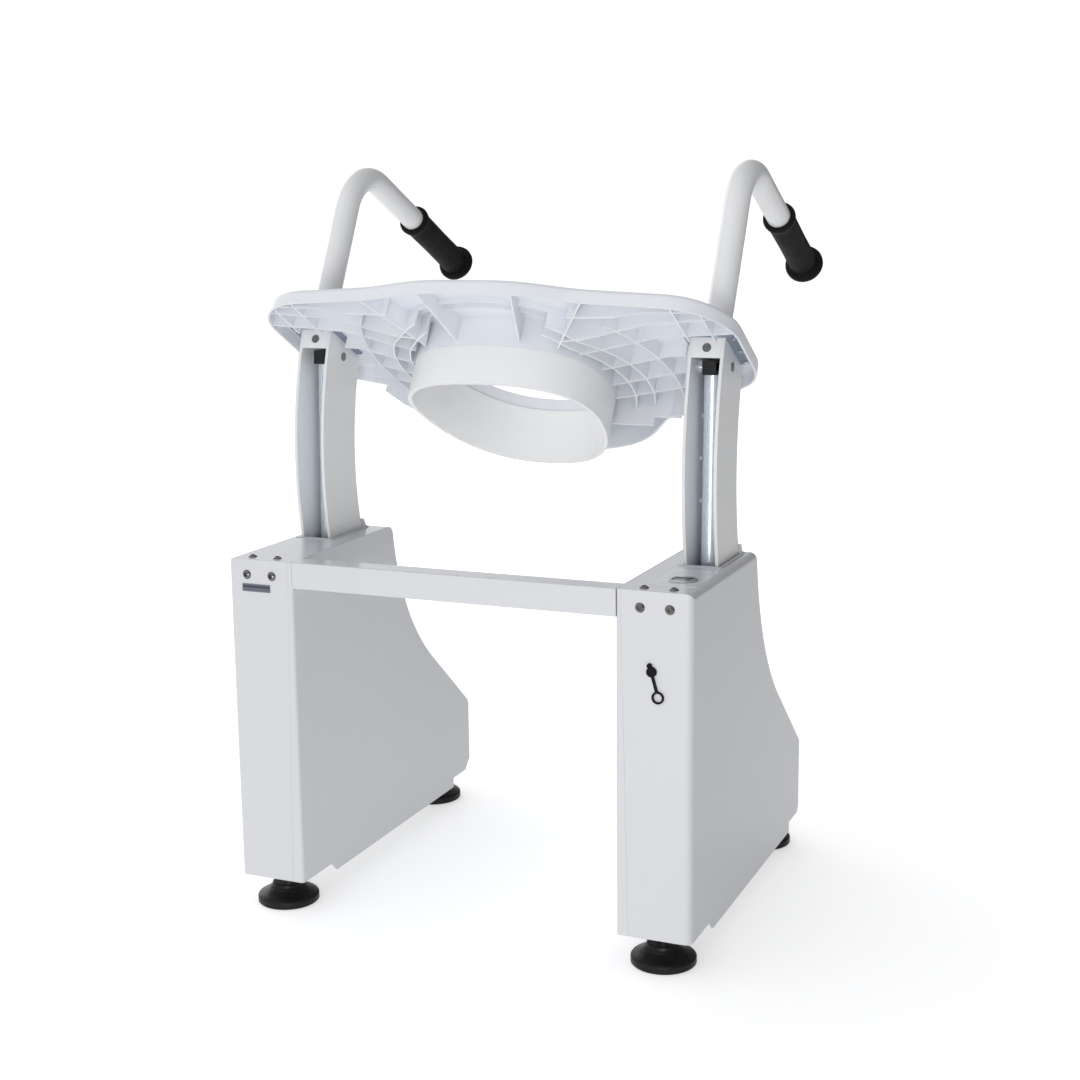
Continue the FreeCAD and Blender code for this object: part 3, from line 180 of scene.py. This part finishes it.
def column_paint():
    """White paint on a column's outside, and cooler, streaked paint inside its channel; the inside is also set
    brighter than the outside, painted light that offsets the shade in the channel.

    The channel is what lies between the column's two walls and behind its web, which is a
    ring about the lift's axis.
    """
    wall, web_inside, margin = 0.004, 0.4195, 0.0003
    low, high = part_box("left_column")
    middle = (low[0] + high[0]) / 2
    half = (high[0] - low[0]) / 2 - wall + margin
    lift_axis = next(j for j in frame["joints"] if j["name"] == "seat_lift")["pos_m"]
    s = Surface("column_paint", (0.86, 0.86, 0.855), 0.22, coat=0.2)
    s.soft_edges(0.0006)
    s.vary_colour(s.noise(5.0, 2), (0.835, 0.835, 0.835), 0.6)
    from_middle = s.math("SUBTRACT", s.math("ABSOLUTE", s.axis("X"), 0), middle)
    across = s.between(from_middle, -half, half)
    ahead = s.math("SUBTRACT", s.axis("Y"), lift_axis[1])
    above = s.math("SUBTRACT", s.axis("Z"), lift_axis[2])
    squares = s.math("ADD", s.math("MULTIPLY", ahead, ahead), s.math("MULTIPLY", above, above))
    behind_web = s.math("GREATER_THAN", squares, web_inside**2)
    inside = s.math("MULTIPLY", across, behind_web)
    # cooler tone of the channel, and painted light: set brighter than the outside paint to offset the channel's
    # shade
    s.blend_colour(inside, (0.94, 0.97, 0.99))
    streaks = s.noise(260, 3, stretch=(1, 1, 0.02))
    s.blend_colour(s.math("MULTIPLY", inside, s.remap(streaks, 0.0, 0.5)), (0.95, 0.97, 0.99))
    s.vary_roughness(s.noise(9, 2), 0.2, 0.24)
    s.bump(s.noise(1100, 2), 0.00001, 0.3)
    return s.material


def seat_white():
    """Bluish-white moulded seat, semi-gloss, with flow marks and painted shade darkening the corners of its ribs.
    """
    s = Surface("seat_white", (0.88, 0.90, 0.935), 0.3, coat=0.12)
    s.soft_edges(0.0009)
    s.vary_colour(s.noise(6.0, 3, stretch=(1, 0.35, 1)), (0.85, 0.875, 0.92), 0.5)
    # painted shade: a bluish darkening in the rib corners and other hollows, by their occlusion
    s.paint_corner_shade((0.55, 0.61, 0.72), 0.3, 0.018)
    s.vary_roughness(s.noise(8, 2), 0.28, 0.33)
    s.bump(s.noise(900, 2), 0.00001, 0.3)
    return s.material


def collar_white():
    """Warm white splash collar, with faint upright flow marks."""
    s = Surface("collar_white", (0.965, 0.965, 0.965), 0.24, coat=0.2)
    s.soft_edges(0.0012)
    s.vary_colour(s.noise(11.0, 3, stretch=(1, 1, 0.3)), (0.94, 0.945, 0.95), 0.5)
    s.vary_roughness(s.noise(6, 2), 0.22, 0.26)
    s.bump(s.noise(40, 2, stretch=(1, 1, 0.3)), 0.0001, 0.1)
    return s.material


def switch_film():
    """White film round the switch, with a brighter border."""
    border = 0.0012
    low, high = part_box("switch_plate")
    s = Surface("switch_film", (0.80, 0.81, 0.825), 0.22, coat=0.2)
    s.vary_colour(s.noise(60, 3), (0.77, 0.78, 0.80), 0.5)
    middle_x = s.between(s.axis("X"), low[0] + border, high[0] - border)
    middle_y = s.between(s.axis("Y"), low[1] + border, high[1] - border)
    edge = s.math("SUBTRACT", 1.0, s.math("MULTIPLY", middle_x, middle_y))
    s.blend_colour(edge, (0.95, 0.96, 0.97))
    s.vary_roughness(s.noise(300, 2), 0.2, 0.25)
    return s.material


def plate_grey():
    """Blank printed plate: a grey field with a paler border and one dark band."""
    border = 0.0009
    low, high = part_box("rating_plate")
    s = Surface("plate_grey", (0.13, 0.14, 0.185), 0.4)
    s.soft_edges(0.0002)
    field_x = s.between(s.axis("X"), low[0] + border, high[0] - border)
    field_z = s.between(s.axis("Z"), low[2] + border, high[2] - border)
    outside = s.math("SUBTRACT", 1.0, s.math("MULTIPLY", field_x, field_z))
    s.blend_colour(outside, (0.19, 0.20, 0.25))
    tall = high[2] - low[2]
    band = s.between(s.axis("Z"), low[2] + 0.52 * tall, low[2] + 0.78 * tall)
    s.blend_colour(s.math("MULTIPLY", s.math("MULTIPLY", band, field_x), 0.8), (0.03, 0.03, 0.045))
    s.vary_roughness(s.noise(600, 2), 0.34, 0.46)
    s.bump(s.noise(3000, 2), 0.00003, 0.5)
    return s.material


def plug_grey():
    """Mid-grey plastic plugs."""
    s = Surface("plug_grey", (0.13, 0.135, 0.15), 0.4)
    s.soft_edges(0.0004)
    s.vary_colour(s.noise(400, 3), (0.17, 0.175, 0.19), 0.5)
    s.vary_roughness(s.noise(500, 2), 0.34, 0.46)
    s.bump(s.noise(2500, 2), 0.00003, 0.5)
    return s.material


def black_plastic():
    """Satin black plastic of rod ends, jackets, socket and boxes."""
    s = Surface("black_plastic", (0.006, 0.006, 0.008), 0.34, specular=0.35)
    s.soft_edges(0.0004)
    s.vary_colour(s.noise(90, 3), (0.011, 0.011, 0.013), 0.5)
    s.vary_roughness(s.noise(140, 4), 0.3, 0.42)
    s.bump(s.noise(2600, 3), 0.00005, 0.5)
    return s.material


def rocker_black():
    """Shiny black switch rocker."""
    s = Surface("rocker_black", (0.004, 0.004, 0.005), 0.12, coat=0.3)
    s.soft_edges(0.0005)
    s.vary_colour(s.noise(200, 3), (0.01, 0.01, 0.012), 0.5)
    s.vary_roughness(s.noise(300, 3), 0.1, 0.18)
    return s.material


def rubber_black():
    """Matt foam rubber, with fine pores and a little paler dust on its crests."""
    s = Surface("rubber_black", (0.005, 0.005, 0.005), 0.6, specular=0.14)
    s.soft_edges(0.0009)
    s.vary_colour(s.noise(26, 5), (0.009, 0.009, 0.009), 0.7)
    s.vary_roughness(s.noise(60, 4), 0.52, 0.68)
    s.bump(s.noise(2000, 3), 0.0001, 0.5)
    return s.material


def pad_black():
    """Smooth black nylon of the foot pads, with faint turning marks."""
    s = Surface("pad_black", (0.005, 0.005, 0.005), 0.34, specular=0.3)
    s.soft_edges(0.0012)
    s.vary_colour(s.noise(40, 4), (0.009, 0.009, 0.009), 0.6)
    s.vary_roughness(s.noise(70, 4), 0.32, 0.44)
    s.bump(s.noise(1500, 3), 0.00005, 0.4)
    return s.material


def steel():
    """Bright turned steel."""
    s = Surface("steel", (0.62, 0.62, 0.61), 0.22, metallic=1.0)
    s.soft_edges(0.0004)
    s.vary_colour(s.noise(400, 3), (0.50, 0.50, 0.50), 0.6)
    s.vary_roughness(s.noise(900, 3), 0.16, 0.3)
    s.bump(s.noise(2500, 2), 0.00002, 0.6)
    return s.material


def dark_screw():
    """Polished dark screw heads, with painted shade blackening them down in their sockets."""
    s = Surface("dark_screw", (0.26, 0.255, 0.24), 0.12, metallic=1.0)
    s.soft_edges(0.0004)
    s.vary_colour(s.noise(500, 3), (0.16, 0.155, 0.15), 0.6)
    # painted shade: the sockets and other hollows go black by their occlusion
    s.paint_corner_shade((0.002, 0.002, 0.002), 1.0, 0.006)
    s.vary_roughness(s.noise(900, 3), 0.12, 0.22)
    return s.material


def tube_silver():
    """Drawn silver tube, with fine marks along its length."""
    s = Surface("tube_silver", (0.74, 0.79, 0.85), 0.3, metallic=0.35)
    s.soft_edges(0.0004)
    s.vary_colour(s.noise(900, 3, stretch=(1, 1, 0.03)), (0.66, 0.71, 0.78), 0.6)
    s.vary_roughness(s.noise(700, 3, stretch=(1, 1, 0.04)), 0.22, 0.36)
    s.bump(s.noise(2200, 2, stretch=(1, 1, 0.02)), 0.00003, 0.5)
    return s.material


def bracket_steel():
    """Blue-grey coated steel of the seat brackets."""
    s = Surface("bracket_steel", (0.30, 0.36, 0.45), 0.4, metallic=0.6)
    s.soft_edges(0.0004)
    s.vary_colour(s.noise(60, 4), (0.24, 0.30, 0.39), 0.6)
    s.vary_roughness(s.noise(300, 4), 0.32, 0.5)
    s.bump(s.noise(1800, 2), 0.00004, 0.6)
    return s.material


def zinc():
    """Zinc-plated sheet, with its spangle."""
    spangle_scale = 90
    s = Surface("zinc", (0.52, 0.53, 0.54), 0.38, metallic=0.9)
    s.soft_edges(0.0005)
    cells = s.add("ShaderNodeTexVoronoi")
    cells.inputs["Scale"].default_value = spangle_scale
    s.link(s.place, cells.inputs["Vector"])
    s.vary_colour(cells.outputs["Distance"], (0.64, 0.65, 0.66), 0.5)
    s.vary_roughness(s.noise(150, 4), 0.3, 0.5)
    return s.material


def dark_metal():
    """Dark cast metal of the motors and gearboxes."""
    s = Surface("dark_metal", (0.05, 0.05, 0.055), 0.5, metallic=0.5)
    s.soft_edges(0.0008)
    s.vary_colour(s.noise(50, 4), (0.09, 0.09, 0.095), 0.6)
    s.vary_roughness(s.noise(120, 4), 0.4, 0.62)
    s.bump(s.noise(1200, 3), 0.0001, 0.7)
    return s.material


def glide():
    """Off-white low-friction plastic that the columns slide on."""
    s = Surface("glide", (0.62, 0.62, 0.60), 0.45)
    s.soft_edges(0.0004)
    s.vary_colour(s.noise(100, 3), (0.54, 0.54, 0.52), 0.5)
    s.vary_roughness(s.noise(200, 3), 0.4, 0.52)
    s.bump(s.noise(1500, 2), 0.00005, 0.5)
    return s.material


FINISHES = {
    "shell_white": gloss_white(),
    "painted_white": powder_white(),
    "column_paint": column_paint(),
    "seat_white": seat_white(),
    "collar_white": collar_white(),
    "trim_grey": switch_film(),
    "plate_grey": plate_grey(),
    "black_plastic": black_plastic(),
    "rocker_black": rocker_black(),
    "rubber_black": rubber_black(),
    "pad_black": pad_black(),
    "steel": steel(),
    "dark_screw": dark_screw(),
    "tube_silver": tube_silver(),
    "bracket_steel": bracket_steel(),
    "zinc": zinc(),
    "dark_metal": dark_metal(),
    "glide": glide(),
}
# a few parts have a finish of their own within their slot
OWN_FINISHES = {"head_plugs": plug_grey(), "crossbar": FINISHES["shell_white"]}

for subpart in frame["record"]["subparts"]:
    name = subpart["node"]
    piece = NODES[name]
    piece.data.materials.clear()
    piece.data.materials.append(OWN_FINISHES.get(name) or FINISHES[subpart["material_slot"]])

# ---------------------------------------------------------------- floor, light and camera

# the surround's brightness on the object's dark and bright side, and the glow ahead of it
SURROUND_DARK, SURROUND_BRIGHT, HORIZON_GLOW = 0.0, 0.8, 0.5
BRIGHT_SIDE, AHEAD = (0.75, 0.4, 0.5), (0.5, -0.85, 0.25)
BACKDROP = 1.05
KEY_POWER, FILL_POWER = 26, 18
# the floor's glow as the camera sees it, near and far, and what it throws onto the object
NEAR_GLOW, FAR_GLOW, FLOOR_THROWN_GLOW = 0.5, 0.8, 0.28
FLOOR_HALF, FLOOR_DROP = 12.0, 0.0004


def floor_material():
    """Pale floor with a painted glow: to the camera it brightens away from the object, as a lit studio sweep does,
    and to all other rays it throws a weaker glow onto the object, lower towards -X.
    """
    s = Surface("floor", (0.9, 0.9, 0.9), 0.7, specular=0.1)
    s.vary_colour(s.noise(2, 2), (0.885, 0.885, 0.885), 0.5)
    distance = s.add("ShaderNodeVectorMath", operation="LENGTH")
    s.link(s.place, distance.inputs[0])
    glow = s.remap(distance.outputs["Value"], NEAR_GLOW, FAR_GLOW, span=(0.7, 3.0))
    # painted glow that lights the object from the floor, weaker towards -X
    thrown_glow = s.remap(s.axis("X"), 0.35 * FLOOR_THROWN_GLOW, FLOOR_THROWN_GLOW, span=(-1.0, -0.2))
    seen = s.add("ShaderNodeLightPath").outputs["Is Camera Ray"]
    extra = s.math("MULTIPLY", seen, s.math("SUBTRACT", glow, thrown_glow))
    s.shader.inputs["Emission Color"].default_value = (1, 1, 1, 1)
    s.link(s.math("ADD", extra, thrown_glow), s.shader.inputs["Emission Strength"])
    return s.material


def make_floor():
    mesh = bpy.data.meshes.new("floor")
    corners = [(-1, -1), (1, -1), (1, 1), (-1, 1)]
    mesh.from_pydata([(x * FLOOR_HALF, y * FLOOR_HALF, 0) for x, y in corners], [], [(0, 1, 2, 3)])
    floor = bpy.data.objects.new("floor", mesh)
    bpy.context.scene.collection.objects.link(floor)
    floor.location.z = -FLOOR_DROP
    mesh.materials.append(floor_material())


def area_light(name, place, target, size, power):
    data = bpy.data.lights.new(name, "AREA")
    data.shape = "RECTANGLE"
    data.size, data.size_y = size
    data.energy = power
    light = bpy.data.objects.new(name, data)
    bpy.context.scene.collection.objects.link(light)
    light.location = place
    aim = Vector(target) - Vector(place)
    light.rotation_euler = aim.to_track_quat("-Z", "Y").to_euler()


def lit_towards(tree, direction, aim, span, low, high):
    """A strength that rises from low to high as a direction nears the aim."""
    nearness = tree.nodes.new("ShaderNodeVectorMath")
    nearness.operation = "DOT_PRODUCT"
    nearness.inputs[1].default_value = Vector(aim).normalized()
    tree.links.new(direction, nearness.inputs[0])
    strength = tree.nodes.new("ShaderNodeMapRange")
    strength.inputs["From Min"].default_value, strength.inputs["From Max"].default_value = span
    strength.inputs["To Min"].default_value, strength.inputs["To Max"].default_value = low, high
    tree.links.new(nearness.outputs["Value"], strength.inputs["Value"])
    return strength.outputs["Result"]


def make_world():
    """A surround that is darker on the object's right, and a white backdrop behind it all."""
    world = bpy.data.worlds.new("studio")
    world.use_nodes = True
    tree = world.node_tree
    direction = tree.nodes.new("ShaderNodeTexCoord").outputs["Generated"]
    total = tree.nodes.new("ShaderNodeMath")
    broad = lit_towards(tree, direction, BRIGHT_SIDE, (-0.8, 0.8), SURROUND_DARK, SURROUND_BRIGHT)
    narrow = lit_towards(tree, direction, AHEAD, (0.88, 1.0), 0.0, HORIZON_GLOW)
    tree.links.new(broad, total.inputs[0])
    tree.links.new(narrow, total.inputs[1])
    surround = tree.nodes["Background"]
    surround.inputs["Color"].default_value = (0.97, 0.98, 1.0, 1)
    tree.links.new(total.outputs[0], surround.inputs["Strength"])
    backdrop = tree.nodes.new("ShaderNodeBackground")
    backdrop.inputs["Color"].default_value = (1, 1, 1, 1)
    backdrop.inputs["Strength"].default_value = BACKDROP
    seen = tree.nodes.new("ShaderNodeLightPath")
    mix = tree.nodes.new("ShaderNodeMixShader")
    tree.links.new(seen.outputs["Is Camera Ray"], mix.inputs[0])
    tree.links.new(surround.outputs[0], mix.inputs[1])
    tree.links.new(backdrop.outputs[0], mix.inputs[2])
    tree.links.new(mix.outputs[0], tree.nodes["World Output"].inputs["Surface"])
    bpy.context.scene.world = world


def make_lights():
    """A low soft key behind the camera, and a soft fill from the object's front."""
    area_light("key", (-1.0, 3.2, 0.4), (0, 0, 0.5), (1.0, 0.7), KEY_POWER)
    area_light("fill", (3.2, -2.0, 1.6), (0, 0, 0.5), (2.0, 2.4), FILL_POWER)


def make_camera():
    """The viewing place: behind the lift and to its right, at about its full height."""
    sensor_width, focal_length = 36.0, 57.257
    place = Vector((-0.8905, 2.1116, 0.894))
    forward = Vector((0.38539, -0.90305, -0.18966)).normalized()
    roll = math.radians(-0.62)
    level = forward.cross(Vector((0, 0, 1))).normalized()
    upward = level.cross(forward)
    right = level * math.cos(roll) + upward * math.sin(roll)
    up = upward * math.cos(roll) - level * math.sin(roll)
    data = bpy.data.cameras.new("camera")
    data.sensor_width = sensor_width
    data.lens = focal_length
    camera = bpy.data.objects.new("camera", data)
    bpy.context.scene.collection.objects.link(camera)
    turn = Matrix((right, up, -forward)).transposed().to_4x4()
    camera.matrix_world = Matrix.Translation(place) @ turn
    bpy.context.scene.camera = camera


make_floor()
make_world()
make_lights()
make_camera()
bpy.context.scene.view_settings.view_transform = "Standard"
